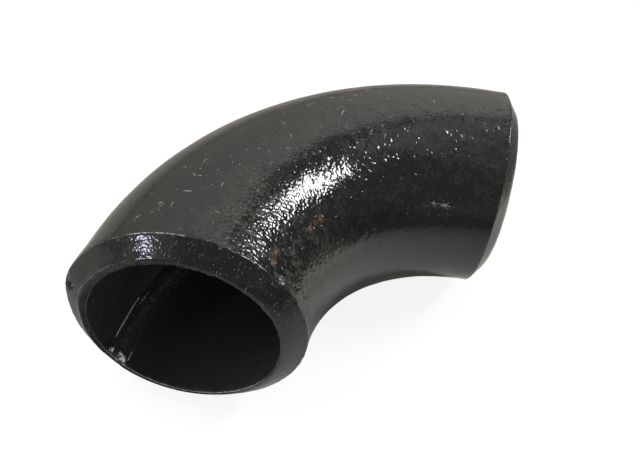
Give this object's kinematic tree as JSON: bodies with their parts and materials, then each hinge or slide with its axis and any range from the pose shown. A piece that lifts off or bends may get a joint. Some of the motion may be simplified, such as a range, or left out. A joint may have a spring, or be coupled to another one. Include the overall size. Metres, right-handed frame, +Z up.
{
  "type": "butt-weld pipe elbow",
  "caption": "Long-radius 90 degree butt-weld elbow for heavy-wall pipe, formed from plate with a welded seam and bevelled ends, in gloss black varnish.",
  "frame": {"origin": "centre of port A's face, on the port's axis", "axes": "-Y points out of port A, +X points out of port B, and +Z is up, square to the plane of the bend; the elbow lies flat on its side"},
  "size_m": [0.1318, 0.1317, 0.073],
  "materials": {
    "varnished_shell": "gloss",
    "varnished_weld": "gloss"
  },
  "bodies": {
    "root": {"elbow_shell": "varnished_shell", "seam_inner_bead": "varnished_weld", "seam_outer_bead": "varnished_weld"}
  },
  "joints": []
}
